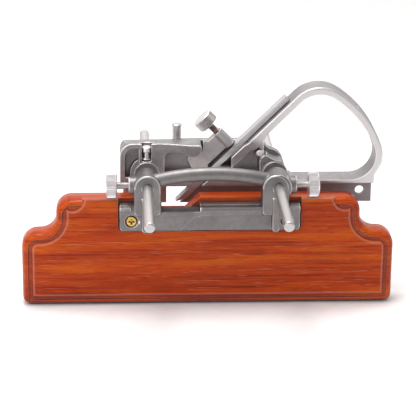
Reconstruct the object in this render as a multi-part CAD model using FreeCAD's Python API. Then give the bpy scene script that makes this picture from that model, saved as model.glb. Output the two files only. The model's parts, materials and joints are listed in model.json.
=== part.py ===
import FreeCAD, Part
import math
import os

# Plough plane: a cast stock with a loop handle, two steel skates, a clamped iron, two fence rods,
# a fence bracket with a moulded wooden fence board, and a depth stop. All sizes are in millimetres.
# Frame: +X from toe to heel, +Y from the fence to the stock, +Z up. The origin is on the lower edge
# of the fence board's working face, midway along it, which is also midway along the rods.

os.makedirs("parts", exist_ok=True)
V = FreeCAD.Vector

# ---- driving dimensions -----------------------------------------------------------------------
RUNNING = 0.05          # radial clearance of every running fit
BOARD_HALF = 145.0      # half the fence board's length
BOARD_TOP = 87.5        # height of the fence board
BOARD_THICK = 19.0
PANEL = -BOARD_THICK    # the board's front face

ROD_R = 4.0
ROD_HALF = 116.0        # rods reach this far each side of the origin
ROD_Z = 99.3
FRONT_X = -47.7
REAR_X = 52.6

NEAR = 7.0              # stock's face on the fence side
WALL = 23.0             # where the near features end and the back plate starts
FAR = 29.0              # stock's other face
MID = 18.0              # middle of the iron, the skates and the lever cap
LOCK_Y = 11.0           # the rod lock screws lie here

SOLE_Z = 73.0
RAIL_Z = 89.3           # underside of the stock
RAIL_TOP = 97.0
HEEL_Z = 91.2           # underside of the thin heel rail
HEEL_TOP = 93.9
HEEL_X = 131.0
TOE_X = -68.5
TOE_R = 10.0            # round of the stock's toe corner
CROWN = 124.15          # highest point of the stock's top, at its near edge
STOCK_TOP = 122.5       # the rest of the top

BED = 66.6              # height of the bed line above the origin, measured square to the bed
IRON_T = 4.0
IRON_TIP_Z = 75.0
MOUTH = 102.7           # Z less X along the slanted end of the lip over the throat
SKATE_Y = (16.4, 19.6)
SKATE_TOP = 94.4
NOSE = (-10.8, 119.0)
NOSE_R = 6.0

LEG_FRONT = -29.0       # front faces of the fence bracket's legs
TUBE_BACK = -7.0
PLATE_FRONT = -22.0
MORTISE = PANEL + 5.2   # floor of the board's mortise
SCREW_Y = -19.5         # axis of the fence thumbscrews
STOP_X = -23.4
STOP_Y = 33.0
STOP_R = 3.5


# ---- helpers ----------------------------------------------------------------------------------
def at(centre, radius, degrees):
    """Point of a circle in the XZ plane."""
    angle = math.radians(degrees)
    return (centre[0] + radius * math.cos(angle), centre[1] + radius * math.sin(angle))


def arc(centre, radius, start, end):
    """A move along a circle: a point half way and the end point."""
    return (at(centre, radius, (start + end) / 2), at(centre, radius, end))


def bed(along, above):
    """Point in XZ from its distances along the 45 degree bed direction and square to it."""
    return ((along - above) / math.sqrt(2), (along + above) / math.sqrt(2))


def trace(start, *moves):
    """Closed face in the XZ plane: a move is a point, or (via, end) for an arc."""
    edges = []
    here = V(start[0], 0, start[1])
    for move in moves + (start,):
        if isinstance(move[0], tuple):
            via = V(move[0][0], 0, move[0][1])
            end = V(move[1][0], 0, move[1][1])
            edges.append(Part.Arc(here, via, end).toShape())
        else:
            end = V(move[0], 0, move[1])
            if here.distanceToPoint(end) > 1e-6:
                edges.append(Part.LineSegment(here, end).toShape())
        here = end
    return Part.Face(Part.Wire(edges))


def slab(face, y0, y1):
    """The face pulled from y0 to y1."""
    moved = face.copy()
    moved.translate(V(0, y0, 0))
    return moved.extrude(V(0, y1 - y0, 0))


def block(x0, x1, y0, y1, z0, z1):
    return Part.makeBox(x1 - x0, y1 - y0, z1 - z0, V(x0, y0, z0))


def rod(x, y, z, radius, length, direction):
    return Part.makeCylinder(radius, length, V(x, y, z), V(*direction))


def bore(x, z, radius):
    """A long cutter along Y."""
    return rod(x, -60, z, radius, 150, (0, 1, 0))


def eased(solid, size, wanted):
    """The solid with the edges that wanted() picks rounded."""
    return solid.makeFillet(size, [edge for edge in solid.Edges if wanted(edge)])


def on_plane(y):
    """Picks the edges that lie wholly in the plane at y."""
    return lambda edge: abs(edge.BoundBox.YMin - y) < 1e-4 and abs(edge.BoundBox.YMax - y) < 1e-4


def revolved(profile, base, direction):
    """A turned piece: profile is (radius, height) from the axis, height along direction."""
    points = [V(r, 0, h) for r, h in profile]
    face = Part.Face(Part.makePolygon(points + points[:1]))
    solid = face.revolve(V(0, 0, 0), V(0, 0, 1), 360)
    turn = FreeCAD.Rotation(V(0, 0, 1), V(*direction))
    solid.Placement = FreeCAD.Placement(V(*base), turn)
    return Part.Solid(solid) if solid.ShapeType != "Solid" else solid


def save(name, shape):
    shape = shape.removeSplitter()
    solids = shape.Solids
    whole = solids[0] if len(solids) == 1 else Part.Compound(solids)
    valid = all(solid.isValid() for solid in solids)
    print(f"{name}: {len(solids)} solid(s), {whole.Volume / 1000:.2f} cm3, valid {valid}")
    whole.exportStep(f"parts/{name}.step")


# ---- stock casting ------------------------------------------------------------------------------
LOCK_ANGLE = 126.5      # the rear lock screw leans toward the toe
LOCK_U = (math.cos(math.radians(LOCK_ANGLE)), math.sin(math.radians(LOCK_ANGLE)))
LOCK_RING_R = 4.35
LOOP_T = 5.8            # thickness of the loop's strap
RIGHT = (112.0, 113.2)  # centre of the loop's heel bend
RIGHT_R = 19.3
BACK_R = 80.0           # the long bend from the heel to the crest
CREST_R = 21.0
STRAP = 60.2            # inner line of the loop's straight, square to the bed
BACK_ANGLE = 20.0
BACK_C = at(RIGHT, RIGHT_R - BACK_R, BACK_ANGLE)
CREST_ANGLE = 57.43
CREST_C = at(BACK_C, BACK_R - CREST_R, CREST_ANGLE)


def loop_handle():
    """The strap of the handle, from the bed round to the heel rail."""
    out = RIGHT_R + LOOP_T
    heel = at(RIGHT, out, -12)
    face = trace(
        (43.5, 119),
        (43.5, 127),
        bed((45.9 + 131.0) / math.sqrt(2), STRAP),
        at(CREST_C, CREST_R, 135),
        arc(CREST_C, CREST_R, 135, CREST_ANGLE),
        arc(BACK_C, BACK_R, CREST_ANGLE, BACK_ANGLE),
        arc(RIGHT, RIGHT_R, BACK_ANGLE, -90),
        (RIGHT[0], HEEL_Z),
        (HEEL_X, HEEL_Z),
        (HEEL_X, 97.6),
        ((134.3, 102.6), heel),
        arc(RIGHT, out, -12, BACK_ANGLE),
        arc(BACK_C, BACK_R + LOOP_T, BACK_ANGLE, CREST_ANGLE),
        arc(CREST_C, CREST_R + LOOP_T, CREST_ANGLE, 135),
        bed(31.6 * math.sqrt(2) + STRAP + LOOP_T, STRAP + LOOP_T),
        (31.6, 119),
    )
    strap = slab(face, NEAR, FAR)

    def outer(edge):
        middle = edge.valueAt((edge.FirstParameter + edge.LastParameter) / 2)
        flat = on_plane(NEAR)(edge) or on_plane(FAR)(edge)
        square = (middle.z - middle.x) / math.sqrt(2)
        line = abs(square - STRAP - LOOP_T) < 0.05 and middle.x > 33
        crest = abs(math.hypot(middle.x - CREST_C[0], middle.z - CREST_C[1]) - CREST_R - LOOP_T) < 0.05
        back = abs(math.hypot(middle.x - BACK_C[0], middle.z - BACK_C[1]) - BACK_R - LOOP_T) < 0.05
        heel_bend = abs(math.hypot(middle.x - RIGHT[0], middle.z - RIGHT[1]) - out) < 0.05
        return flat and (line or crest or back or heel_bend)

    return eased(strap, 1.7, outer)


def near_left():
    """Toe rim, top beam with the round nose, and the web round the front rod."""
    face = trace(
        (TOE_X, RAIL_Z),
        (TOE_X, CROWN - TOE_R),
        arc((TOE_X + TOE_R, CROWN - TOE_R), TOE_R, 180, 90),
        (-12.0, CROWN),
        (-12.0, STOCK_TOP),
        (NOSE[0] + NOSE_R - 1.5, STOCK_TOP),
        arc((NOSE[0] + NOSE_R - 1.5, STOCK_TOP - 1.5), 1.5, 90, 0),
        (NOSE[0] + NOSE_R, NOSE[1]),
        arc(NOSE, NOSE_R, 0, -90),
        (-17.2, 114.0),
        arc((-20.2, 114.2), 2.6, 0, 90),
        (-30.3, 116.8),
        arc((-30.3, 113.3), 3.5, 90, 180),
        (-33.8, RAIL_Z),
    )
    near = slab(face, NEAR, WALL)
    lip = trace((-36, RAIL_Z), (-36, RAIL_TOP), (RAIL_TOP - MOUTH, RAIL_TOP), (RAIL_Z - MOUTH, RAIL_Z))
    near = near.fuse(slab(lip, NEAR, NEAR + 5.5))
    pocket = trace(
        (-64.6, RAIL_TOP),
        (-64.6, 112.8),
        arc((-57.1, 112.8), 7.5, 180, 90),
        (-53.8, 120.3),
        (-53.8, RAIL_TOP),
    )
    near = near.cut(slab(pocket, NEAR - 1, NEAR + 9))
    near = near.fuse(rod(FRONT_X, NEAR + 3, ROD_Z, 13, WALL - NEAR - 3, (0, 1, 0)))
    near = near.fuse(rod(FRONT_X, NEAR - 1, ROD_Z, 10, WALL - NEAR + 1, (0, 1, 0)))
    near = near.cut(block(-70, 0, NEAR - 2, FAR, RAIL_Z - 20, RAIL_Z))
    near = near.cut(rod(FRONT_X, LOCK_Y, 110, 5.3, 20, (0, 0, 1)))
    near = near.fuse(rod(FRONT_X, LOCK_Y, 104, 3.5, 7.2, (0, 0, 1)))
    return near.fuse(rod(FRONT_X, LOCK_Y, 110.9, LOCK_RING_R, 1.3, (0, 0, 1)))


def rear_near():
    """The bed with its triangular slot, and the heavy boss round the rear rod."""
    bar = trace(
        (RAIL_Z - BED * math.sqrt(2), RAIL_Z),
        (27.5, 27.5 + BED * math.sqrt(2)),
        (31.5, 124.2),
        (35.0, 125.8),
        (38.4, 129.0),
        (43.5, 134.0),
        (45.9, 131.0),
        (43.5, 127.0),
        (43.5, 119.0),
        (41.0, 60 * math.sqrt(2) + 37.0),
        (37.0, 60 * math.sqrt(2) + 37.0),
        (RAIL_Z - 60 * math.sqrt(2), RAIL_Z),
    )
    bed_bar = slab(bar, NEAR, WALL)
    slot = trace((8.4, 104.4), (18.4, 114.4), (18.4, 104.4))
    bed_bar = bed_bar.cut(slab(slot, NEAR - 1, WALL + 1))
    floor = trace((0, RAIL_Z), (0, RAIL_TOP), (66, RAIL_TOP), (66, RAIL_Z + 0.8), (45, RAIL_Z))
    return bed_bar.fuse(slab(floor, NEAR, WALL).cut(slab(iron_clearance(), 0, 40)))


def iron_clearance():
    """Everything above the bed line, where the iron runs."""
    return trace(bed(20, BED), bed(190, BED), bed(190, BED + 60), bed(20, BED + 60))


def rear_boss():
    boss = trace(
        (40.4, RAIL_Z),
        (40.4, 110.3),
        (46.2, 114.5),
        ((50.2, 111.7), (57.0, 109.6)),
        ((59.6, 107.0), (60.4, 103.0)),
        (63.8, HEEL_TOP),
        (64.6, RAIL_Z + 0.7),
        (45.0, RAIL_Z),
    )
    near = slab(boss, NEAR, WALL)
    ring = (REAR_X + 12.0 * LOCK_U[0], LOCK_Y, ROD_Z + 12.0 * LOCK_U[1])
    near = near.fuse(rod(*ring, LOCK_RING_R, 5.2, (LOCK_U[0], 0, LOCK_U[1])))
    return near.fuse(rod(REAR_X, NEAR - 1, ROD_Z, 10, 3, (0, 1, 0)))


def back_plate():
    """The wall behind the iron, with a shallow pocket in its far side."""
    face = trace(
        (TOE_X, RAIL_Z),
        (TOE_X, CROWN - TOE_R),
        arc((TOE_X + TOE_R, CROWN - TOE_R), TOE_R, 180, 90),
        (-12.0, CROWN),
        (-12.0, STOCK_TOP),
        (34.0, STOCK_TOP),
        (43.5, 127.0),
        ((45.0, 119.6), (50.3, 115.0)),
        ((57.4, 111.0), (60.1, 103.2)),
        (64.4, HEEL_TOP),
        (64.4, RAIL_Z + 0.7),
        (45.0, RAIL_Z),
    )
    plate = slab(face, WALL, FAR)
    pocket = trace(
        (-63.8, 95.0),
        (-63.8, 112.8),
        arc((-56.8, 112.8), 7, 180, 90),
        (26.0, 119.8),
        (38.0, 108.0),
        (38.0, 95.0),
    )
    hollow = slab(pocket, FAR - 5, FAR + 1)
    for x in (FRONT_X, REAR_X):
        hollow = hollow.cut(rod(x, 0, ROD_Z, 12, 60, (0, 1, 0)))
    hollow = hollow.cut(block(STOP_X - 9, STOP_X + 9, 0, 60, 80, 130))
    return plate.cut(hollow)


def stop_boss():
    """Split-free boss for the depth stop's rod on the far side, with a lug for its thumbscrew."""
    tube = rod(STOP_X, STOP_Y, 97, 6.7, 20, (0, 0, 1))
    web = block(STOP_X - 6.7, STOP_X + 6.7, FAR - 4, STOP_Y, 97, 117)
    lug = rod(STOP_X, STOP_Y + 4, 106, 5.2, 6, (0, 1, 0))
    return tube.fuse([web, lug])


def crown_cutter():
    """What is taken off the top so that it falls away to the far side, and levels out by the nose."""
    sections = []
    for x, near_z, far_z in ((-75, CROWN, 121.0), (-31, CROWN, 121.6), (-12, STOCK_TOP, STOCK_TOP)):
        corners = [V(x, NEAR, near_z), V(x, FAR, far_z), V(x, FAR, 140), V(x, NEAR, 140)]
        sections.append(Part.makePolygon(corners + corners[:1]))
    return Part.makeLoft(sections, True, True)


SKATE_PINS = ((-60.0, 92.0), (-38.0, 92.0), (18.0, 92.0), (38.0, 92.0))
PIN_R = 1.5
PIN_L = 16.0


def skate_faces():
    front = trace(
        (-66.0, SOLE_Z),
        (-66.0, SKATE_TOP),
        (-34.6, SKATE_TOP),
        (-34.6, RAIL_Z),
        (-32.0, RAIL_Z),
        (-32.0, SOLE_Z),
    )
    rear = trace(
        (SOLE_Z - BED * math.sqrt(2), SOLE_Z),
        (SKATE_TOP - BED * math.sqrt(2), SKATE_TOP),
        (44.0, SKATE_TOP),
        (44.0, RAIL_Z),
        (45.0, RAIL_Z),
        (96.0, HEEL_Z),
        (HEEL_X - 0.9, HEEL_Z),
        (HEEL_X - 0.9, SOLE_Z),
    )
    return front, rear


def stock_casting():
    stock = back_plate().fuse([near_left(), rear_near(), rear_boss(), loop_handle(), stop_boss()])
    stock = stock.cut(crown_cutter())
    rail = trace((44, RAIL_Z), (45, RAIL_Z), (96, HEEL_Z), (HEEL_X, HEEL_Z), (HEEL_X, HEEL_TOP), (44, HEEL_TOP))
    stock = stock.fuse(slab(rail, NEAR, FAR))
    for x in (FRONT_X, REAR_X):
        stock = stock.cut(bore(x, ROD_Z, ROD_R + RUNNING))
    for face in skate_faces():
        stock = stock.cut(slab(face, *SKATE_Y))
    for x, z in SKATE_PINS:
        stock = stock.cut(rod(x, FAR - PIN_L, z, PIN_R, PIN_L, (0, 1, 0)))
    inclined = (LOCK_U[0], 0, LOCK_U[1])
    stock = stock.cut(rod(FRONT_X, LOCK_Y, ROD_Z, 2.5 + RUNNING, 30, (0, 0, 1)))
    stock = stock.cut(rod(REAR_X, LOCK_Y, ROD_Z, 2.5 + RUNNING, 18, inclined))
    seat = (REAR_X + 17.2 * LOCK_U[0], LOCK_Y, ROD_Z + 17.2 * LOCK_U[1])
    stock = stock.cut(rod(*seat, 4.7, 8, inclined))
    stock = stock.cut(rod(STOP_X, STOP_Y, 90, STOP_R + RUNNING, 40, (0, 0, 1)))
    return stock.cut(rod(STOP_X, STOP_Y, 106, 2.5 + RUNNING, 30, (0, 1, 0)))


# ---- skates and their pins ----------------------------------------------------------------------
HANG_HOLE = (120.7, 82.5)
HANG_R = 3.5


def skates():
    front, rear = (slab(face, *SKATE_Y) for face in skate_faces())
    toe = trace((-66.1, SOLE_Z - 0.1), (-66.1, SOLE_Z + 5), ((-64.6, SOLE_Z + 1.4), (-61, SOLE_Z - 0.1)))
    front = front.cut(slab(toe, 0, 40))
    for x, z in SKATE_PINS:
        front = front.cut(bore(x, z, PIN_R))
        rear = rear.cut(bore(x, z, PIN_R))
    rear = rear.cut(bore(HANG_HOLE[0], HANG_HOLE[1], HANG_R))
    return front, rear


def skate_pins():
    pins = [rod(x, FAR - PIN_L, z, PIN_R, PIN_L, (0, 1, 0)) for x, z in SKATE_PINS]
    return Part.Compound(pins)


# ---- iron and its lever cap ---------------------------------------------------------------------
IRON_Y = (13.25, 22.75)
IRON_TIP = IRON_TIP_Z * math.sqrt(2) - BED - IRON_T   # along the bed
IRON_END = 155.5
PANEL_ENDS = (112.0, 153.5)   # the sunk panel in the iron's near side, along the bed
PANEL_DEEP = 0.7
PANEL_WIDE = 2.8
BEVEL = 30.0
SCREW_S = 97.5          # the cap screw's place along the bed
CAP_Y = (14.5, 22.5)
CAP_GAP = 1.1           # between the cap's hook and the stock's nose
CAP_CREST = 123.6


def iron():
    run = IRON_T / math.tan(math.radians(BEVEL))
    face = trace(
        bed(IRON_TIP, BED + IRON_T),
        bed(IRON_END, BED + IRON_T),
        bed(IRON_END, BED),
        bed(IRON_TIP + run, BED),
    )
    blade = slab(face, *IRON_Y)
    start = bed(PANEL_ENDS[0] + PANEL_WIDE, BED + PANEL_WIDE)
    panel = trace(
        bed(PANEL_ENDS[0], BED - 1),
        bed(PANEL_ENDS[0], BED),
        (bed(PANEL_ENDS[0] + 0.29 * PANEL_WIDE, BED + 0.71 * PANEL_WIDE), start),
        bed(PANEL_ENDS[1], BED + PANEL_WIDE),
        bed(PANEL_ENDS[1], BED - 1),
    )
    blade = blade.cut(slab(panel, IRON_Y[0] - 1, IRON_Y[0] + PANEL_DEEP))

    def end_corner(edge):
        middle = edge.valueAt((edge.FirstParameter + edge.LastParameter) / 2)
        square = abs(edge.BoundBox.YLength) < 1e-4
        return square and abs((middle.x + middle.z) / math.sqrt(2) - IRON_END) < 0.01

    return eased(blade, 0.9, end_corner)


def lever_cap():
    top = 87.2
    low = 73.8
    tip = BED + IRON_T + 0.25
    crest = CAP_CREST
    hook = NOSE_R + CAP_GAP
    face = trace(
        at(NOSE, hook, 8),
        (NOSE[0] + hook + 0.2, crest),
        (crest - top * math.sqrt(2), crest),
        bed(SCREW_S, top),
        bed(SCREW_S, low),
        bed(74.4, low),
        bed(70.4, tip),
        bed(64.0, tip),
        (-10.2, 98.0),
        (-13.3, 103.8),
        (-15.9, 109.8),
        at(NOSE, hook, -112),
        arc(NOSE, hook, -112, 8),
    )
    cap = slab(face, *CAP_Y)
    foot = bed(SCREW_S, 72.7)
    cap = cap.fuse(rod(foot[0], MID, foot[1], 4.7, 14.6, (-1, 0, 1)))
    return cap.cut(rod(foot[0] + 5, MID, foot[1] - 5, 2.75 + RUNNING, 40, (-1, 0, 1)))


def knob(radius, thick, hole):
    """Profile of a knurled knob with chamfered rims; its knurl is cut in the rim."""
    return [
        (hole, 0),
        (radius - 0.8, 0),
        (radius, 0.8),
        (radius, thick - 0.8),
        (radius - 0.8, thick),
        (hole, thick),
    ]


def lever_cap_screw():
    start = bed(SCREW_S, BED + IRON_T + 1.2)
    profile = [(0, 0), (2.0, 0), (2.75, 0.8), (2.75, 29.0), (0, 29.0)]
    stud = revolved(profile, (start[0], MID, start[1]), (-1, 0, 1))
    seat = bed(SCREW_S, 95.3)
    head = revolved(knob(8.25, 9.0, 0), (seat[0], MID, seat[1]), (-1, 0, 1))
    return head.cut(stud), stud


# ---- rods and their lock screws -----------------------------------------------------------------
LOCK_HEAD = 4.8         # height of a lock screw's head


def fence_rod(x):
    dome = 1.2
    profile = [
        (0, 0),
        (ROD_R - dome, 0),
        (ROD_R - 0.35, 0.45),
        (ROD_R, dome),
        (ROD_R, 2 * ROD_HALF - dome),
        (ROD_R - 0.35, 2 * ROD_HALF - 0.45),
        (ROD_R - dome, 2 * ROD_HALF),
        (0, 2 * ROD_HALF),
    ]
    return revolved(profile, (x, -ROD_HALF, ROD_Z), (0, 1, 0))


def lock_screw(x, direction, head_from):
    """Cheese-headed screw that bears on a rod; the head has a driver slot."""
    tip = ROD_R + 0.2
    profile = [
        (0, tip),
        (2.0, tip),
        (2.5, tip + 0.6),
        (2.5, head_from),
        (3.2, head_from + 0.2),
        (3.9, head_from + 1.2),
        (3.9, head_from + LOCK_HEAD - 0.6),
        (3.3, head_from + LOCK_HEAD),
        (0, head_from + LOCK_HEAD),
    ]
    screw = revolved(profile, (x, LOCK_Y, ROD_Z), (direction[0], 0, direction[1]))
    slot = Part.makeBox(12, 1.1, 3, V(-6, -0.55, head_from + LOCK_HEAD - 1.4))
    slot.Placement = FreeCAD.Placement(
        V(x, LOCK_Y, ROD_Z), FreeCAD.Rotation(V(0, 0, 1), V(direction[0], 0, direction[1]))
    ).multiply(slot.Placement)
    return screw.cut(slot)


# ---- fence bracket ------------------------------------------------------------------------------
PLATE_X = (-69.0, 70.2)
PLATE_Z = (63.0, 83.7)
DIP_TOP = 80.2          # the plate is lower between the front leg and the board's notch
RELIEF = ((-9.2, 75.9), (-22.0, 63.1))   # slanting step across the plate, low side toward the heel
RELIEF_DEEP = 0.7
TUBE_R = 10.3
LEG_HALF = 10.3
BRIDGE_R = 5.4
BRIDGE_Y = -21.0
BRIDGE_Z = (103.6, 108.6)   # ends and crown of the arch


def bridge():
    """Round bar arched between the two legs."""
    ends = (FRONT_X + 7, REAR_X - 7)
    middle = (ends[0] + ends[1]) / 2
    path = Part.Arc(
        V(ends[0], BRIDGE_Y, BRIDGE_Z[0]), V(middle, BRIDGE_Y, BRIDGE_Z[1]), V(ends[1], BRIDGE_Y, BRIDGE_Z[0])
    ).toShape()
    tangent = path.tangentAt(path.FirstParameter)
    ring = Part.Wire(Part.makeCircle(BRIDGE_R, V(ends[0], BRIDGE_Y, BRIDGE_Z[0]), tangent))
    return Part.Wire(path).makePipeShell([ring], True, False)


def leg(x, side):
    """A leg with its round head, the tube round the rod, the rib below and the screw boss."""
    centre = x - 2.1 if side > 0 else x
    left = centre - LEG_HALF
    right = centre + LEG_HALF
    face = trace(
        (left + 1.6, 77.2),
        (left, 78.8),
        (left, ROD_Z),
        arc((centre, ROD_Z), LEG_HALF, 180, 0),
        (right, 78.8),
        (right - 1.6, 77.2),
    )
    stand = slab(face, LEG_FRONT, MORTISE)
    stand = eased(stand, 1.3, on_plane(LEG_FRONT))
    tube = rod(x, LEG_FRONT + 1, ROD_Z, TUBE_R, TUBE_BACK - LEG_FRONT - 1, (0, 1, 0))
    tube = eased(tube, 0.6, on_plane(TUBE_BACK))
    rib_x = x - 1.7
    rib = trace(
        (rib_x - 2.9, 92.0),
        (rib_x - 2.9, 66.6),
        arc((rib_x, 66.6), 2.9, 180, 360),
        (rib_x + 2.9, 92.0),
    )
    rib = eased(slab(rib, LEG_FRONT - 1.2, PLATE_FRONT + 1), 1.1, on_plane(LEG_FRONT - 1.2))
    boss = rod(x, SCREW_Y, ROD_Z, 6.8, 14.4, (side, 0, 0))
    boss = eased(boss, 0.7, lambda e: abs(e.CenterOfMass.x - x - side * 14.4) < 0.1 and e.Length > 20)
    return stand.fuse([tube, rib, boss])


def ledge(x0, x1, front, z0, z1, rounding):
    """A rail along the plate's top with a rounded front edge."""
    rail = block(x0, x1, front, PLATE_FRONT + 1, z0, z1)
    return eased(rail, rounding, lambda e: on_plane(front)(e) and abs(e.CenterOfMass.z - z1) < 0.01)


def fence_bracket():
    low, high = PLATE_Z
    plate = block(PLATE_X[0], PLATE_X[1], PLATE_FRONT, MORTISE, low, high)
    plate = eased(plate, 2.6, lambda e: e.BoundBox.YLength > 5 and abs(e.CenterOfMass.z - low) < 0.1)
    plate = eased(plate, 2.8, lambda e: on_plane(PLATE_FRONT)(e) and abs(e.CenterOfMass.z - high) < 0.01)
    relief = trace(RELIEF[0], RELIEF[1], (50, RELIEF[1][1] - 1), (50, RELIEF[0][1]))
    plate = plate.cut(slab(relief, PLATE_FRONT - 1, PLATE_FRONT + RELIEF_DEEP))
    bracket = plate.cut(block(-37.3, -7.2, -40, 0, DIP_TOP, 90))
    ledges = [
        ledge(-40.0, -7.2, -27.0, 75.9, DIP_TOP, 0.9),
        ledge(-7.2, 42.0, -27.0, 76.7, high - 0.4, 2.4),
        ledge(58.0, PLATE_X[1], PLATE_FRONT - 1.6, 79.4, high - 0.6, 1.2),
        ledge(PLATE_X[0], -60.0, PLATE_FRONT - 0.6, 79.2, high - 1.4, 0.9),
    ]
    bracket = bracket.fuse(ledges)
    bracket = bracket.fuse([leg(FRONT_X, -1), leg(REAR_X, 1), bridge()])
    for x in (FRONT_X, REAR_X):
        bracket = bracket.cut(bore(x, ROD_Z, ROD_R + RUNNING))
    for x, side in ((FRONT_X, -1), (REAR_X, 1)):
        bracket = bracket.cut(rod(x, SCREW_Y, ROD_Z, 2.75 + RUNNING, 30, (side, 0, 0)))
    for x in WOOD_SCREWS:
        sink = Part.makeCone(SINK_R, 2.1, 3.0, V(x, PLATE_FRONT, WOOD_SCREW_Z), V(0, 1, 0))
        bracket = bracket.cut(sink).cut(rod(x, PLATE_FRONT, WOOD_SCREW_Z, 2.1, 12, (0, 1, 0)))
    return bracket


WOOD_SCREWS = (-59.9, 60.0)
WOOD_SCREW_Z = 70.7
HEAD_R = 4.35
SINK_R = 5.2            # the countersink is wider than the screw's head


def wood_screws():
    """Two countersunk screws with a cross recess; the threads are left as their core."""
    screws = []
    for x in WOOD_SCREWS:
        profile = [
            (0, 0.1),
            (HEAD_R - 0.7, 0.1),
            (HEAD_R, 0.7),
            (2.0, 3.15),
            (2.0, 12.5),
            (0.3, 15.0),
            (0, 15.0),
        ]
        screw = revolved(profile, (x, PLATE_FRONT, WOOD_SCREW_Z), (0, 1, 0))
        for wide, tall in ((4.2, 1.0), (1.0, 4.2)):
            cross = block(
                x - wide / 2, x + wide / 2, PLATE_FRONT - 1, PLATE_FRONT + 2.1,
                WOOD_SCREW_Z - tall / 2, WOOD_SCREW_Z + tall / 2,
            )
            screw = screw.cut(cross)
        screws.append(screw)
    return Part.Compound(screws)


def fence_thumbscrew(x, side):
    """Knob and stud of a screw that clamps the fence to a rod."""
    tip = ROD_R + 0.2
    stud = revolved(
        [(0, tip), (2.1, tip), (2.75, tip + 0.7), (2.75, 31.0), (0, 31.0)],
        (x, SCREW_Y, ROD_Z),
        (side, 0, 0),
    )
    head = revolved(knob(9.25, 8.6, 0), (x + side * 23.2, SCREW_Y, ROD_Z), (side, 0, 0))
    return head.cut(stud), stud


# ---- fence board --------------------------------------------------------------------------------
LOW_ARC = (132.0, 47.0)
LOW_R = 13.0
COVE = (130.5, 72.5)
COVE_R = 12.5
HIGH_ARC = (105.5, 75.0)
HIGH_R = 12.5
CORNER_R = 6.0


def mirror(point):
    return (-point[0], point[1])


def half_outline(inset):
    """Right half of the board's outline from the middle of its foot to its top, as trace moves."""
    side = BOARD_HALF - inset
    corner = max(CORNER_R - inset, 0.4)
    return [
        (side - corner, inset),
        arc((side - corner, inset + corner), corner, -90, 0),
        (side, LOW_ARC[1]),
        arc(LOW_ARC, LOW_R - inset, 0, 90),
        (COVE[0], COVE[1] - COVE_R - inset),
        arc(COVE, COVE_R + inset, 270, 180),
    ]


def left_half(moves, start):
    """The same moves mirrored and run backwards, from the last point to start."""
    points = [start] + [move[1] if isinstance(move[0], tuple) else move for move in moves]
    back = []
    for index in range(len(moves) - 1, -1, -1):
        target = mirror(points[index])
        move = moves[index]
        back.append((mirror(move[0]), target) if isinstance(move[0], tuple) else target)
    return back


def board_face(inset, run_out):
    """Board outline moved in by inset; with a run-out radius the moulding leaves at the top edge."""
    start = (0, inset)
    moves = half_outline(inset)
    if run_out:
        centre = (HIGH_ARC[0], BOARD_TOP)
        reach = COVE[0] - COVE_R - inset - centre[0]
        angle = -math.degrees(math.acos(reach / run_out))
        moves.append(at(centre, run_out, angle))
        moves.append(arc(centre, run_out, angle, -180))
    else:
        moves.append((HIGH_ARC[0] + HIGH_R, HIGH_ARC[1]))
        moves.append(arc(HIGH_ARC, HIGH_R, 0, 90))
    top = mirror(moves[-1][1])
    return trace(start, *moves, top, *left_half(moves, start))


OVOLO = 5.4
GROOVE_DEPTH = 3.8
PANEL_INSET = 9.4


def fence_board():
    """Outer slab with its rounded front edge, a stepped bead inside it, and the raised panel."""
    outer = slab(board_face(0, 0), PANEL + GROOVE_DEPTH, 0)
    outer = eased(outer, OVOLO, on_plane(PANEL + GROOVE_DEPTH))
    bead = slab(board_face(OVOLO + 0.1, 7.6), PANEL + 1.2, 0)
    panel = slab(board_face(PANEL_INSET, 11.5), PANEL, 0)
    board = outer.fuse([bead, panel])
    gap = 1.2
    mortise = block(PLATE_X[0] - gap, PLATE_X[1] + gap, PANEL - 1, MORTISE, PLATE_Z[0] - gap, 100)
    mortise = eased(
        mortise, 3.4, lambda e: e.BoundBox.YLength > 3 and abs(e.CenterOfMass.z - PLATE_Z[0] + gap) < 0.1
    )
    notch = trace((-36.6, 76.0), (-36.6, 100), (6.0, 100), (-18.0, 76.0))
    board = board.cut(mortise).cut(slab(notch, -40, 10))
    for x in WOOD_SCREWS:
        board = board.cut(rod(x, MORTISE - 1, WOOD_SCREW_Z, 2.0, 7.9, (0, 1, 0)))
    return board


# ---- depth stop ---------------------------------------------------------------------------------
SHOE_Z = (84.2, 88.4)


def depth_stop():
    top = 133.0
    low = SHOE_Z[0] + 1.2
    profile = [
        (0, low),
        (STOP_R, low),
        (STOP_R, top - 2.2),
        (STOP_R + 0.5, top - 1.9),
        (STOP_R + 0.5, top - 0.6),
        (STOP_R - 0.2, top),
        (0, top),
    ]
    post = revolved(profile, (STOP_X, STOP_Y, 0), (0, 0, 1))
    post = post.cut(rod(STOP_X, STOP_Y, low - 1, 1.5, 9, (0, 0, 1)))
    shoe = block(STOP_X - 17, STOP_X + 17, STOP_Y - 3.6, STOP_Y + 5.2, *SHOE_Z)
    shoe = eased(shoe, 2.2, lambda e: e.BoundBox.ZLength > 3)
    shoe = shoe.cut(rod(STOP_X, STOP_Y, low, STOP_R, 9, (0, 0, 1)))
    shoe = shoe.cut(rod(STOP_X, STOP_Y, SHOE_Z[0] - 1, 1.5, 9, (0, 0, 1)))
    screw = rod(STOP_X, STOP_Y, SHOE_Z[0], 1.5, 7.5, (0, 0, 1))
    screw = screw.cut(block(STOP_X - 3, STOP_X + 3, STOP_Y - 0.3, STOP_Y + 0.3, SHOE_Z[0] - 1, SHOE_Z[0] + 0.6))
    return post, shoe, screw


def stop_thumbscrew():
    tip = STOP_R + 0.2
    stud = revolved([(0, tip), (2.0, tip), (2.5, tip + 0.6), (2.5, 21), (0, 21)], (STOP_X, STOP_Y, 106), (0, 1, 0))
    head = revolved(knob(7.0, 7.0, 0), (STOP_X, STOP_Y + 14.5, 106), (0, 1, 0))
    return head.cut(stud), stud


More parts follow.
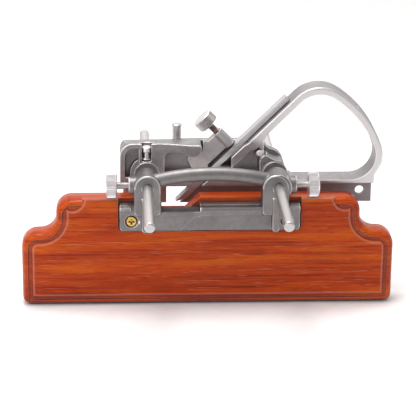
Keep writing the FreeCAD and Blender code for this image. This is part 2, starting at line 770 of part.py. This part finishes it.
# ---- the pieces ---------------------------------------------------------------------------------
save("stock_casting", stock_casting())
front_skate, rear_skate = skates()
save("front_skate", front_skate)
save("rear_skate", rear_skate)
save("skate_pins", skate_pins())
save("iron", iron())
save("lever_cap", lever_cap())
cap_knob, cap_stud = lever_cap_screw()
save("lever_cap_knob", cap_knob)
save("lever_cap_stud", cap_stud)
save("front_rod", fence_rod(FRONT_X))
save("rear_rod", fence_rod(REAR_X))
save("front_rod_lock_screw", lock_screw(FRONT_X, (0, 1), 17.0))
save("rear_rod_lock_screw", lock_screw(REAR_X, LOCK_U, 18.2))
save("fence_bracket", fence_bracket())
save("fence_board", fence_board())
save("fence_wood_screws", wood_screws())
for place, x, side in (("front", FRONT_X, -1), ("rear", REAR_X, 1)):
    head, stud = fence_thumbscrew(x, side)
    save(f"{place}_fence_knob", head)
    save(f"{place}_fence_stud", stud)
post, shoe, shoe_screw = depth_stop()
save("depth_stop_rod", post)
save("depth_stop_shoe", shoe)
save("depth_stop_shoe_screw", shoe_screw)
head, stud = stop_thumbscrew()
save("depth_stop_knob", head)
save("depth_stop_stud", stud)
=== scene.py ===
"""Looks of the plough plane: camera, light, materials, and the detailed pieces that stand for CAD nodes."""

import json
import math

import bmesh
import bpy
from mathutils import Matrix, Vector


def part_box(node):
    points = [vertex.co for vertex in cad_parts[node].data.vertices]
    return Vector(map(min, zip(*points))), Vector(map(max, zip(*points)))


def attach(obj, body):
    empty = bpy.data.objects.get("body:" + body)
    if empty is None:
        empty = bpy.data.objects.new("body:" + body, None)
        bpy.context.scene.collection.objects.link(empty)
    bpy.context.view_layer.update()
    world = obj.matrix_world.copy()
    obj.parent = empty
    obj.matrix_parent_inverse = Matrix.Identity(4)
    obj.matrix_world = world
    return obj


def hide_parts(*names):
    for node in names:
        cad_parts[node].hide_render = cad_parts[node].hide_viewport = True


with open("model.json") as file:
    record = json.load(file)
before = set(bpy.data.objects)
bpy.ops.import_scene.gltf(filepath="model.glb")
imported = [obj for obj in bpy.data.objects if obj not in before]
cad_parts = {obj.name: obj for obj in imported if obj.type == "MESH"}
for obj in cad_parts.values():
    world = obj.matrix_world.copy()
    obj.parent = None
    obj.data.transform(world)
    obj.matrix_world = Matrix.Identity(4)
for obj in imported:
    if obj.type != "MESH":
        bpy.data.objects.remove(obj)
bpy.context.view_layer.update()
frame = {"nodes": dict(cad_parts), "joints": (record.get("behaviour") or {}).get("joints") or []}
NODES = frame["nodes"]
MM = 0.001              # shapes are in millimetres, and materials, lights and the camera in metres
scene = bpy.context.scene


# ---- camera -------------------------------------------------------------------------------------
YAW, TILT, ROLL = math.radians(3.083), math.radians(19.281), math.radians(0.596)
CAMERA_PLACE = (-0.07184, -1.33577, 0.54178)
LENS, SENSOR = 156.9, 36


def make_camera():
    """A long lens on the fence's side, looking along +Y and down at the plane."""
    ahead = Vector((math.sin(YAW) * math.cos(TILT), math.cos(YAW) * math.cos(TILT), -math.sin(TILT)))
    side = Vector((math.cos(YAW), -math.sin(YAW), 0))
    up = side.cross(ahead)
    right = side * math.cos(ROLL) + up * math.sin(ROLL)
    top = up * math.cos(ROLL) - side * math.sin(ROLL)
    data = bpy.data.cameras.new("camera")
    data.sensor_width = SENSOR
    data.lens = LENS
    data.clip_end = 50
    camera = bpy.data.objects.new("camera", data)
    turn = Matrix((right, top, -ahead)).transposed().to_4x4()
    camera.matrix_world = Matrix.Translation(CAMERA_PLACE) @ turn
    scene.collection.objects.link(camera)
    scene.camera = camera


# ---- light and floor ----------------------------------------------------------------------------
def area_light(name, place, aim, size, watts, colour):
    data = bpy.data.lights.new(name, "AREA")
    data.shape = "RECTANGLE"
    data.size, data.size_y = size
    data.energy = watts
    data.color = colour
    lamp = bpy.data.objects.new(name, data)
    lamp.location = place
    lamp.rotation_euler = (Vector(aim) - Vector(place)).to_track_quat("-Z", "Y").to_euler()
    scene.collection.objects.link(lamp)


def make_world():
    """Soft room: dim toward the viewer's side, bright overhead and behind the object."""
    world = bpy.data.worlds.new("studio")
    scene.world = world
    world.use_nodes = True
    tree = world.node_tree
    coords = tree.nodes.new("ShaderNodeTexCoord")
    dot = tree.nodes.new("ShaderNodeVectorMath")
    dot.operation = "DOT_PRODUCT"
    dot.inputs[1].default_value = (0.0, 0.80, 0.60)
    fit = tree.nodes.new("ShaderNodeMapRange")
    fit.inputs["From Min"].default_value = -1
    ramp = tree.nodes.new("ShaderNodeValToRGB")
    stops = ramp.color_ramp.elements
    stops[0].position, stops[0].color = 0.1, (0.47, 0.455, 0.465, 1)
    stops[1].position, stops[1].color = 1.0, (1.55, 1.52, 1.5, 1)
    for place, level in ((0.5, 0.57), (0.8, 0.84), (0.9, 1.02)):
        stops.new(place).color = (level, level * 0.98, level * 0.98, 1)
    tree.links.new(coords.outputs["Generated"], dot.inputs[0])
    tree.links.new(dot.outputs["Value"], fit.inputs["Value"])
    tree.links.new(fit.outputs["Result"], ramp.inputs["Fac"])
    tree.links.new(ramp.outputs["Color"], tree.nodes["Background"].inputs["Color"])


def make_floor():
    mesh = bpy.data.meshes.new("floor")
    half = 6.0
    corners = [(-half, -half, 0), (half, -half, 0), (half, half, 0), (-half, half, 0)]
    mesh.from_pydata(corners, [], [(0, 1, 2, 3)])
    floor = bpy.data.objects.new("floor", mesh)
    scene.collection.objects.link(floor)
    paper = Surface("paper_floor")
    speck = paper.noise(60, detail=4)
    paper.set("Base Color", paper.ramp(speck, [(0.3, (0.86, 0.86, 0.86)), (0.7, (0.9, 0.9, 0.9))]))
    paper.set("Roughness", 0.9)
    mesh.materials.append(paper.material)


# ---- materials ----------------------------------------------------------------------------------
EDGE_SHARP, EDGE_FLAT = 0.86, 0.995     # how well the bevelled and the true normal agree
CLOSED = 0.3                            # openness of a corner that gets the full painted shade
FINE = 0.00004                          # bump height of tool marks, in metres
GRIP_SLOPE = 0.55                       # the hand rubs the loop where slope * X + Z is over the grip line
GRIP_LINE = (0.143, 0.150)
WORN_LIT_EDGE = (0.508, 0.532)              # pointiness of an edge that gets a painted highlight and, from wear, less roughness
UPWARD = (-0.45, 0.05)                  # edges that face down further than this get no painted highlight
FILLET_DEPTH = 0.0005                   # the thin fillet between groove and panel, behind the board's face, where a painted highlight goes
FILLET_HALF, FILLET_FADE = 0.00006, 0.00012
HEAD_R = 0.00435                        # heads of the two brass screws


class Surface:
    """A principled material with short calls for the nodes used here."""

    def __init__(self, name):
        self.material = bpy.data.materials.new(name)
        self.material.use_nodes = True
        self.tree = self.material.node_tree
        self.shader = self.tree.nodes["Principled BSDF"]
        self.coords = self.node("ShaderNodeTexCoord").outputs["Object"]

    def node(self, kind, **props):
        made = self.tree.nodes.new(kind)
        for key, value in props.items():
            setattr(made, key, value)
        return made

    def link(self, source, target):
        self.tree.links.new(source, target)

    def put(self, socket, value):
        if isinstance(value, bpy.types.NodeSocket):
            self.link(value, socket)
        elif isinstance(value, (tuple, list)) and len(value) == 3 and socket.type == "RGBA":
            socket.default_value = (*value, 1)
        else:
            socket.default_value = value

    def set(self, name, value):
        self.put(self.shader.inputs[name], value)

    def stretched(self, scale):
        mapping = self.node("ShaderNodeMapping")
        mapping.inputs["Scale"].default_value = scale
        self.link(self.coords, mapping.inputs["Vector"])
        return mapping.outputs["Vector"]

    def noise(self, scale, detail=2.0, rough=0.5, vector=None, distort=0.0):
        made = self.node("ShaderNodeTexNoise")
        self.link(vector or self.coords, made.inputs["Vector"])
        made.inputs["Scale"].default_value = scale
        made.inputs["Detail"].default_value = detail
        made.inputs["Roughness"].default_value = rough
        made.inputs["Distortion"].default_value = distort
        return made.outputs["Fac"]

    def ramp(self, factor, stops):
        made = self.node("ShaderNodeValToRGB")
        elements = made.color_ramp.elements
        while len(elements) < len(stops):
            elements.new(0.5)
        for element, (place, colour) in zip(elements, stops):
            element.position = place
            element.color = (*colour, 1)
        self.link(factor, made.inputs["Fac"])
        return made.outputs["Color"]

    def span(self, value, low, high, to_low=0.0, to_high=1.0):
        made = self.node("ShaderNodeMapRange")
        made.inputs["From Min"].default_value = low
        made.inputs["From Max"].default_value = high
        made.inputs["To Min"].default_value = to_low
        made.inputs["To Max"].default_value = to_high
        self.link(value, made.inputs["Value"])
        return made.outputs["Result"]

    def maths(self, operation, *values):
        made = self.node("ShaderNodeMath", operation=operation)
        for socket, value in zip(made.inputs, values):
            self.put(socket, value)
        return made.outputs["Value"]

    def mix(self, factor, a, b):
        """A colour from a to b; a colour mix node has its colours on sockets 6 and 7 and its result on 2."""
        made = self.node("ShaderNodeMix", data_type="RGBA")
        self.put(made.inputs["Factor"], factor)
        self.put(made.inputs[6], a)
        self.put(made.inputs[7], b)
        return made.outputs[2]

    def axes(self, vector):
        made = self.node("ShaderNodeSeparateXYZ")
        self.link(vector, made.inputs[0])
        return made.outputs

    def edges(self, radius):
        """1 on sharp outer edges and inner corners, 0 on flats."""
        bevel = self.node("ShaderNodeBevel", samples=6)
        bevel.inputs["Radius"].default_value = radius
        dot = self.node("ShaderNodeVectorMath", operation="DOT_PRODUCT")
        self.link(bevel.outputs["Normal"], dot.inputs[0])
        self.link(self.node("ShaderNodeNewGeometry").outputs["Normal"], dot.inputs[1])
        return self.span(dot.outputs["Value"], EDGE_SHARP, EDGE_FLAT, 1.0, 0.0)

    def painted_shade(self, base, reach, colour, strength, unshaded=0.85):
        """Painted shade from ambient occlusion: base with colour in corners and grooves up to reach across;
        the last argument is the openness that stays without painted shade.
        """
        shade = self.node("ShaderNodeAmbientOcclusion", samples=8)
        shade.inputs["Distance"].default_value = reach
        return self.mix(self.span(shade.outputs["AO"], CLOSED, unshaded, strength, 0.0), base, colour)

    def bump(self, height, strength, distance):
        made = self.node("ShaderNodeBump")
        made.inputs["Strength"].default_value = strength
        made.inputs["Distance"].default_value = distance
        self.link(height, made.inputs["Height"])
        return made.outputs["Normal"]


def cast_steel(name, low, high):
    """Casting with a fine grain, painted shade in its corners and painted highlights on up-facing edges;
    hands have polished the loop's sides.
    """
    look = Surface(name)
    cloud = look.noise(38, detail=5, rough=0.6)
    base = look.ramp(cloud, [(0.3, low), (0.72, high)])
    stain = look.noise(140, detail=6, rough=0.7)
    base = look.mix(look.span(stain, 0.48, 0.72, 0.0, 0.55), base, tuple(c * 0.66 for c in low))
    place = look.axes(look.coords)
    rise = look.maths("ADD", look.maths("MULTIPLY", place["X"], GRIP_SLOPE), place["Z"])
    geometry = look.node("ShaderNodeNewGeometry")
    facing = look.axes(geometry.outputs["Normal"])
    side = look.span(look.maths("ABSOLUTE", facing["Y"]), 0.35, 0.8)
    polish = look.maths("MULTIPLY", look.span(rise, *GRIP_LINE), side)
    base = look.mix(polish, base, (0.66, 0.645, 0.645))
    # painted shade in corners and recesses: a wide dark pass, then a tight near-black one
    base = look.painted_shade(base, 0.003, (0.05, 0.047, 0.05), 0.3)
    base = look.painted_shade(base, 0.001, (0.02, 0.019, 0.02), 0.75)
    # painted highlight on convex edges that face up, and less roughness there from wear
    worn_and_lit = look.span(geometry.outputs["Pointiness"], *WORN_LIT_EDGE)
    edge = look.maths("MULTIPLY", worn_and_lit, look.span(facing["Z"], *UPWARD))
    look.set("Base Color", look.mix(look.maths("MULTIPLY", edge, 0.9), base, (0.88, 0.85, 0.85)))
    look.set("Metallic", 1.0)
    rough = look.span(look.noise(900, detail=3), 0.3, 0.7, 0.42, 0.54)
    look.set("Roughness", look.maths("SUBTRACT", rough, look.maths("MULTIPLY", edge, 0.14)))
    grain = look.noise(2600, detail=3, rough=0.7)
    look.set("Normal", look.bump(grain, 0.55, 0.00008))
    return look.material


def bright_steel(name, scale, base, rough, metal):
    """Drawn or ground steel with fine lines along the axis that scale stretches least."""
    look = Surface(name)
    lines = look.noise(1.0, detail=4, rough=0.65, vector=look.stretched(scale))
    cloud = look.noise(60, detail=4)
    dark = tuple(c * 0.82 for c in base)
    colour = look.ramp(lines, [(0.32, dark), (0.68, base)])
    colour = look.mix(look.span(cloud, 0.45, 0.75, 0.0, 0.25), colour, tuple(c * 0.75 for c in base))
    # painted highlight on sharp edges and inner corners
    edge = look.edges(0.0006)
    look.set("Base Color", look.mix(look.maths("MULTIPLY", edge, 0.5), colour, (0.9, 0.88, 0.88)))
    look.set("Metallic", metal)
    look.set("Roughness", look.span(lines, 0.3, 0.7, rough - 0.06, rough + 0.08))
    look.set("Normal", look.bump(lines, 0.25, FINE))
    return look.material


def plated(name, low, high, rough, groove):
    """Plated or turned metal with a faint cloud and fine tool marks; groove is the shade left in grooves."""
    look = Surface(name)
    base = look.ramp(look.noise(400, detail=4), [(0.3, low), (0.7, high)])
    look.set("Base Color", look.painted_shade(base, 0.0011, tuple(c * groove for c in low), 1.0, 0.96))
    look.set("Metallic", 1.0)
    look.set("Roughness", look.span(look.noise(1400, detail=3), 0.3, 0.7, rough - 0.05, rough + 0.08))
    look.set("Normal", look.bump(look.noise(2400, detail=2), 0.18, FINE))
    return look.material


def screw_brass():
    """Brass with painted shade: a dark ring round each countersunk head for the shadow in the countersink's
    gap, and dark arms in its cross recess.
    """
    look = Surface("brass")
    low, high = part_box("fence_wood_screws")
    half_span = (high.x - low.x) / 2 - HEAD_R
    height = (high.z + low.z) / 2
    base = look.ramp(look.noise(500, detail=4), [(0.3, (0.46, 0.29, 0.06)), (0.7, (0.70, 0.50, 0.16))])
    place = look.axes(look.coords)
    across = look.maths("ABSOLUTE", look.maths("SUBTRACT", look.maths("ABSOLUTE", place["X"]), half_span))
    up = look.maths("ABSOLUTE", look.maths("SUBTRACT", place["Z"], height))
    square = look.maths("ADD", look.maths("MULTIPLY", across, across), look.maths("MULTIPLY", up, up))
    away = look.maths("SQRT", square)
    # painted shadow in the countersink's gap round each head, and painted shade in the arms of the cross
    # recess
    ring = look.span(away, HEAD_R - 0.0008, HEAD_R - 0.0003)
    arm = look.span(look.maths("MINIMUM", across, up), 0.0005, 0.0009, 1.0, 0.0)
    inner, outer = look.span(away, 0.0007, 0.0011), look.span(away, 0.0022, 0.0026, 1.0, 0.0)
    reach = look.maths("MULTIPLY", inner, outer)
    dark = look.maths("MAXIMUM", ring, look.maths("MULTIPLY", arm, reach))
    look.set("Base Color", look.mix(look.maths("MULTIPLY", dark, 0.93), base, (0.05, 0.03, 0.012)))
    look.set("Metallic", 1.0)
    look.set("Roughness", look.span(look.noise(1400, detail=3), 0.3, 0.7, 0.22, 0.36))
    look.set("Normal", look.bump(look.noise(2400, detail=2), 0.18, FINE))
    return look.material


def rosewood():
    """Orange-red wood with its grain along X: dark streaks, short pores and pale flecks, painted shade in
    grooves and creases, and painted highlights on the thin fillet and sharp edges.
    """
    look = Surface("rosewood")
    wide = look.noise(1.0, detail=3, rough=0.55, vector=look.stretched((7, 30, 60)), distort=0.8)
    streak = look.noise(1.0, detail=6, rough=0.62, vector=look.stretched((11, 190, 560)), distort=0.7)
    pores = look.noise(1.0, detail=2, rough=0.5, vector=look.stretched((110, 900, 1800)))
    tones = [(0.3, (0.30, 0.024, 0.002)), (0.5, (0.43, 0.046, 0.003)), (0.72, (0.58, 0.105, 0.004))]
    body = look.ramp(wide, tones)
    body = look.mix(look.span(streak, 0.50, 0.68, 0.0, 0.7), body, (0.10, 0.010, 0.004))
    body = look.mix(look.span(streak, 0.44, 0.34, 0.0, 0.4), body, (0.46, 0.105, 0.012))
    body = look.mix(look.span(pores, 0.58, 0.68, 0.0, 0.45), body, (0.05, 0.006, 0.004))
    fleck = look.noise(1.0, detail=1, rough=0.5, vector=look.stretched((60, 700, 1700)))
    body = look.mix(look.span(fleck, 0.66, 0.74, 0.0, 0.42), body, (0.60, 0.24, 0.15))
    # painted shade in the grooves and hollows of the mouldings, then in tight creases
    body = look.painted_shade(body, 0.005, (0.17, 0.07, 0.075), 0.95)
    body = look.painted_shade(body, 0.0009, (0.04, 0.012, 0.012), 0.7)
    # painted highlight on the thin fillet between groove and panel
    depth = look.axes(look.coords)["Y"]
    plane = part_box("fence_board")[0].y + FILLET_DEPTH
    near = look.span(depth, plane - FILLET_FADE, plane - FILLET_HALF)
    far = look.span(depth, plane + FILLET_HALF, plane + FILLET_FADE, 1.0, 0.0)
    fillet = look.maths("MULTIPLY", near, far)
    body = look.mix(look.maths("MULTIPLY", fillet, 0.6), body, (0.46, 0.21, 0.17))
    # painted highlight on sharp edges and inner corners
    edge = look.edges(0.0007)
    look.set("Base Color", look.mix(look.maths("MULTIPLY", edge, 0.5), body, (0.60, 0.30, 0.22)))
    look.set("Roughness", look.span(streak, 0.3, 0.7, 0.24, 0.38))
    look.set("Specular IOR Level", 0.14)
    look.set("Normal", look.bump(look.mix(0.5, pores, streak), 0.3, 0.00006))
    return look.material


# ---- meshes -------------------------------------------------------------------------------------
SHARP_OVER = math.radians(28)           # edges that bend more than this stay sharp


def piece(name, mesh, body, material, node):
    """A drawn piece that rides body and stands for the CAD node."""
    obj = bpy.data.objects.new(name, mesh)
    scene.collection.objects.link(obj)
    mesh.materials.clear()
    mesh.materials.append(material)
    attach(obj, body)
    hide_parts(node)


def paint(node, material):
    data = NODES[node].data
    data.materials.clear()
    data.materials.append(material)


def finished(name, mesh_in, *modifiers):
    """The mesh after modifiers given as (kind, settings)."""
    temp = bpy.data.objects.new(name, mesh_in)
    scene.collection.objects.link(temp)
    for kind, settings in modifiers:
        modifier = temp.modifiers.new(kind, kind)
        for key, value in settings.items():
            setattr(modifier, key, value)
    bpy.context.view_layer.update()
    shaped = temp.evaluated_get(bpy.context.evaluated_depsgraph_get())
    mesh = bpy.data.meshes.new_from_object(shaped)
    mesh.name = name
    bpy.data.objects.remove(temp)
    return mesh


def softened(node, body, material, voxel, rounds, keep):
    """A cast copy of a CAD node: its edges and corners rounded a little all over."""
    mesh = finished(
        node + "_cast",
        NODES[node].data.copy(),
        ("REMESH", {"mode": "VOXEL", "voxel_size": voxel}),
        ("SMOOTH", {"factor": 0.5, "iterations": rounds}),
        ("DECIMATE", {"ratio": keep}),
    )
    mesh.shade_smooth()
    piece(node + "_cast", mesh, body, material, node)


def lathe(rings, around, base, direction, wave):
    """A turned mesh from (radius, height) rings in mm; wave(angle, ring, height) is added to the radius."""
    loops = []
    for index, (radius, height) in enumerate(rings):
        loop = []
        for step in range(around):
            angle = 2 * math.pi * step / around
            r = radius + wave(angle, index, height)
            loop.append((r * math.cos(angle), r * math.sin(angle), height))
        loops.append(loop)
    turn = Vector(direction).to_track_quat("Z", "Y").to_matrix().to_4x4()
    return lofted("turned", loops, Matrix.Translation(Vector(base) * MM) @ turn)


def lofted(name, loops, place=Matrix()):
    """A closed mesh through loops of points in mm, all with the same count."""
    bm = bmesh.new()
    rows = [[bm.verts.new(Vector(point) * MM) for point in loop] for loop in loops]
    count = len(rows[0])
    for low, high in zip(rows, rows[1:]):
        for step in range(count):
            after = (step + 1) % count
            bm.faces.new((low[step], low[after], high[after], high[step]))
    bm.faces.new(reversed(rows[0]))
    bm.faces.new(rows[-1])
    bmesh.ops.recalc_face_normals(bm, faces=bm.faces)
    bm.transform(place)
    mesh = bpy.data.meshes.new(name)
    bm.to_mesh(mesh)
    bm.free()
    return smooth(mesh)


def smooth(mesh):
    mesh.shade_smooth()
    mesh.set_sharp_from_angle(angle=SHARP_OVER)
    return mesh


def joined(mesh, others, operation):
    """The mesh after a boolean with each of the others."""
    for other in others:
        cutter = bpy.data.objects.new("cutter", other)
        scene.collection.objects.link(cutter)
        settings = {"object": cutter, "operation": operation, "solver": "EXACT"}
        mesh = finished(mesh.name, mesh, ("BOOLEAN", settings))
        bpy.data.objects.remove(cutter)
    return mesh


# ---- fence board --------------------------------------------------------------------------------
HALF, _, TOP = (round(side / MM, 3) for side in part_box("fence_board")[1])
CORNER_R, LEAST_R = 6.0, 0.4                # lower corners
SHOULDER_Z, LOW_R = 60.0, 13.0              # the end: a low round, a hollow, and a high round up to the top
HOLLOW_X, HOLLOW_R, HIGH_R = 130.5, 12.5, 12.5
LOW_ROUND = (HALF - LOW_R, SHOULDER_Z - LOW_R)
HOLLOW = (HOLLOW_X, SHOULDER_Z + HOLLOW_R)
HIGH_ROUND = (HOLLOW_X - HOLLOW_R - HIGH_R, TOP - HIGH_R)
PANEL_TOP = TOP - 0.03                      # just under the edge's top, so that the union shares no face
CURL = 0.9                                  # the groove curls out through the top, on its inset plus this
OVOLO_WIDTH, OVOLO_Y, OVOLO_DEPTH = 4.7, -9.4, 8.4          # round of the front edge, from y on
MORTISE_LEFT, MORTISE_RIGHT, MORTISE_Y = -70.2, 71.4, -13.8  # pocket for the bracket's plate
MORTISE_CORNER_Z, MORTISE_R = 65.2, 3.4
NOTCH_LEFT, NOTCH_LOW_RIGHT, NOTCH_HIGH_RIGHT, NOTCH_Z = -36.6, -18.0, 6.0, 76.0    # way out for shavings
OUT_Z, OUT_FRONT, OUT_BACK = 100, -40, 10   # clear of the board


def arc(centre, radius, start, end, steps):
    points = []
    for step in range(steps + 1):
        angle = math.radians(start + (end - start) * step / steps)
        points.append((centre[0] + radius * math.cos(angle), centre[1] + radius * math.sin(angle)))
    return points


def outline(inset, y, curls=False):
    """The board's outline moved in by inset, in the plane y; the panel's curls up and out at the top."""
    corner = max(CORNER_R - inset, LEAST_R)
    half = arc((HALF - inset - corner, inset + corner), corner, -90, 0, 8)
    half += arc(LOW_ROUND, LOW_R - inset, 0, 90, 14)
    half += arc(HOLLOW, HOLLOW_R + inset, 270, 180, 16)
    if curls:
        radius = inset + CURL
        start = -math.degrees(math.acos((PANEL_TOP - HIGH_ROUND[1] - inset) / radius))
        half += arc((HIGH_ROUND[0], PANEL_TOP), radius, start, -180, 18)
    else:
        half += arc(HIGH_ROUND, HIGH_R - inset, 0, 90, 14)
    loop = half + [(-x, z) for x, z in reversed(half)]
    return [(x, y, z) for x, z in loop]


def prism(points, front, back):
    return lofted("prism", [[(x, y, z) for x, z in points] for y in (front, back)])


def make_board():
    """Moulded board: ovolo round the edge, a groove, a thin fillet and the flat panel; mortise and notch."""
    # edge: (inset, y) from the back, round the ovolo and down into the groove
    rings = [(0.9, 0.0), (0.25, -0.25), (0.0, -0.9), (0.0, OVOLO_Y)]
    for step in range(1, 11):
        angle = math.radians(9 * step)
        rings.append((OVOLO_WIDTH * (1 - math.cos(angle)), OVOLO_Y - OVOLO_DEPTH * math.sin(angle)))
    rings += [(4.95, -17.5), (5.15, -16.9), (5.5, -16.4)]
    edge = lofted("moulded_board", [outline(inset, y) for inset, y in rings])
    # panel: from inside the edge up the groove, over the fillet and out to the flat face
    rings = [(7.0, -1.0), (7.0, -16.5), (7.4, -16.8), (7.9, -17.5), (8.2, -18.2), (8.6, -18.42)]
    rings += [(9.35, -18.58), (9.55, -18.64), (9.75, -19.0)]
    panel = lofted("panel", [outline(inset, y, curls=True) for inset, y in rings])
    pocket = arc((MORTISE_LEFT + MORTISE_R, MORTISE_CORNER_Z), MORTISE_R, 180, 270, 6)
    pocket += arc((MORTISE_RIGHT - MORTISE_R, MORTISE_CORNER_Z), MORTISE_R, 270, 360, 6)
    pocket += [(MORTISE_RIGHT, OUT_Z), (MORTISE_LEFT, OUT_Z)]
    notch = [(NOTCH_LEFT, NOTCH_Z), (NOTCH_LOW_RIGHT, NOTCH_Z)]
    notch += [(NOTCH_HIGH_RIGHT, OUT_Z), (NOTCH_LEFT, OUT_Z)]
    cutters = [prism(pocket, OUT_FRONT, MORTISE_Y), prism(notch, OUT_FRONT, OUT_BACK)]
    return smooth(joined(joined(edge, [panel], "UNION"), cutters, "DIFFERENCE"))


# ---- screws -------------------------------------------------------------------------------------
STUD_SIDES = 28
TURN_RINGS = 8                  # rings in one turn of a thread
LEAD_IN = 0.4
FLANK = 2.6                     # steepness of the thread's flanks
RIDGE_SIDES = 4                 # points round each ridge of a knurl
RIDGE_DEPTH = 0.65
RIM_RINGS = (4, 5)              # the two rings of a knob that the ridges are cut in


def threaded(low, high, radius, pitch, depth, base, direction):
    """A stud with a cut thread between the heights low and high along direction."""
    rings = [(radius - depth, low)]
    count = int((high - low) / pitch * TURN_RINGS)
    rings += [(radius, low + LEAD_IN + (high - low - LEAD_IN) * step / count) for step in range(count + 1)]

    def groove(angle, index, height):
        phase = (height / pitch - angle / (2 * math.pi)) % 1.0
        return 0 if index == 0 else -depth * min(abs(phase - 0.5) * FLANK, 1.0)

    return lathe(rings, STUD_SIDES, base, direction, groove)


def knurled(radius, thick, ridges, dish, base, direction):
    """A knob with a straight knurl round its rim and a shallow turned dish in its outer face."""
    rim = thick - 0.8
    # (radius, height): inner face, rounded edge, rim, rounded edge, dish
    rings = [(2.6, 0), (radius - 1.6, 0), (radius - 0.9, 0.15), (radius - 0.1, 0.85)]
    rings += [(radius, 1.1), (radius, rim - 0.3)]
    rings += [(radius - 0.1, rim - 0.05), (radius - 0.9, thick - 0.12), (radius - 1.5, thick)]
    rings += [(radius - 2.0, thick - dish), (1.0, thick - dish)]

    def ridge(angle, index, height):
        return -RIDGE_DEPTH * abs(math.sin(angle * ridges / 2)) if index in RIM_RINGS else 0

    return lathe(rings, ridges * RIDGE_SIDES, base, direction, ridge)


def thumbscrew(name, stud, knob, reach, materials, seat=0.0):
    """A stud on its joint's axis, seat above the joint's place, and a knob that is reach above the seat."""
    stud_material, knob_material = materials
    body = name + "_screw"
    joint = next(joint for joint in frame["joints"] if joint["child"] == body)
    axis = Vector(joint["axis"])
    base = Vector(joint["pos_m"]) / MM + axis * seat
    thread = threaded(*stud, base, axis)
    piece(name + "_thread", thread, body, stud_material, name + "_stud")
    knurl = knurled(*knob, base + axis * reach, axis)
    piece(name + "_knurl", knurl, body, knob_material, name + "_knob")


# ---- the scene ----------------------------------------------------------------------------------
make_camera()
make_world()
make_floor()
top_place, left_place = (-0.15, 0.1, 1.35), (-0.9, -0.9, 0.9)
area_light("top_softbox", top_place, aim=(0, 0, 0.1), size=(0.7, 0.35), watts=12, colour=(1.0, 0.97, 0.95))
area_light("left_softbox", left_place, aim=(0, 0, 0.08), size=(0.8, 0.8), watts=7, colour=(1.0, 0.99, 0.98))

steel = cast_steel("cast_steel", (0.29, 0.277, 0.281), (0.38, 0.365, 0.37))
bracket_steel = cast_steel("bracket_steel", (0.195, 0.186, 0.186), (0.26, 0.249, 0.249))
cap_steel = cast_steel("cap_steel", (0.43, 0.42, 0.422), (0.56, 0.545, 0.548))
lines_x, lines_y = (14, 900, 700), (900, 12, 900)       # noise scale for tool marks along X and along Y
drawn = bright_steel("drawn_steel", lines_y, (0.60, 0.58, 0.575), rough=0.36, metal=1.0)
tool = bright_steel("tool_steel", lines_x, (0.60, 0.59, 0.6), rough=0.40, metal=0.7)
ground = bright_steel("ground_steel", lines_x, (0.30, 0.29, 0.315), rough=0.5, metal=0.12)
bright = bright_steel("skate_steel", lines_x, (0.5, 0.49, 0.5), rough=0.5, metal=0.15)
nickel = plated("nickel", (0.86, 0.83, 0.845), (0.95, 0.925, 0.935), rough=0.36, groove=0.75)
cap_nickel = plated("worn_nickel", (0.72, 0.69, 0.69), (0.82, 0.79, 0.79), rough=0.36, groove=0.2)
oiled = plated("dark_steel", (0.20, 0.16, 0.145), (0.40, 0.34, 0.31), rough=0.35, groove=0.2)
yellow = screw_brass()
wood = rosewood()
for node, material in {
    "front_skate": bright,
    "rear_skate": ground,
    "skate_pins": ground,
    "iron": tool,
    "front_rod": drawn,
    "rear_rod": drawn,
    "depth_stop_rod": drawn,
    "front_rod_lock_screw": nickel,
    "rear_rod_lock_screw": nickel,
    "depth_stop_shoe_screw": nickel,
    "fence_wood_screws": yellow,
}.items():
    paint(node, material)

LARGE, SMALL = (0.0004, 2, 0.35), (0.0003, 3, 0.5)      # voxel in metres, smoothing rounds, faces kept
softened("stock_casting", "stock", steel, *LARGE)
softened("fence_bracket", "fence", bracket_steel, *LARGE)
softened("lever_cap", "lever_cap", cap_steel, *SMALL)
softened("depth_stop_shoe", "depth_stop", steel, *SMALL)

piece("moulded_board", make_board(), "fence", wood, "fence_board")
# studs are (low, high, radius, pitch, thread depth), knobs are (radius, thickness, ridges, dish)
for name in ("front_fence", "rear_fence"):
    thumbscrew(name, (4.2, 31.0, 2.75, 0.8, 0.3), (9.25, 8.6, 48, 0.3), 23.2, (drawn, nickel))
cap_stud, cap_knob = (0, 29.0, 2.75, 0.9, 0.35), (8.25, 9.0, 44, 0.0)
thumbscrew("lever_cap", cap_stud, cap_knob, 23.5, (oiled, cap_nickel), seat=0.3)
thumbscrew("depth_stop", (3.7, 21.0, 2.5, 0.8, 0.3), (7.0, 7.0, 40, 0.3), 14.5, (drawn, nickel))

scene.view_settings.view_transform = "Standard"
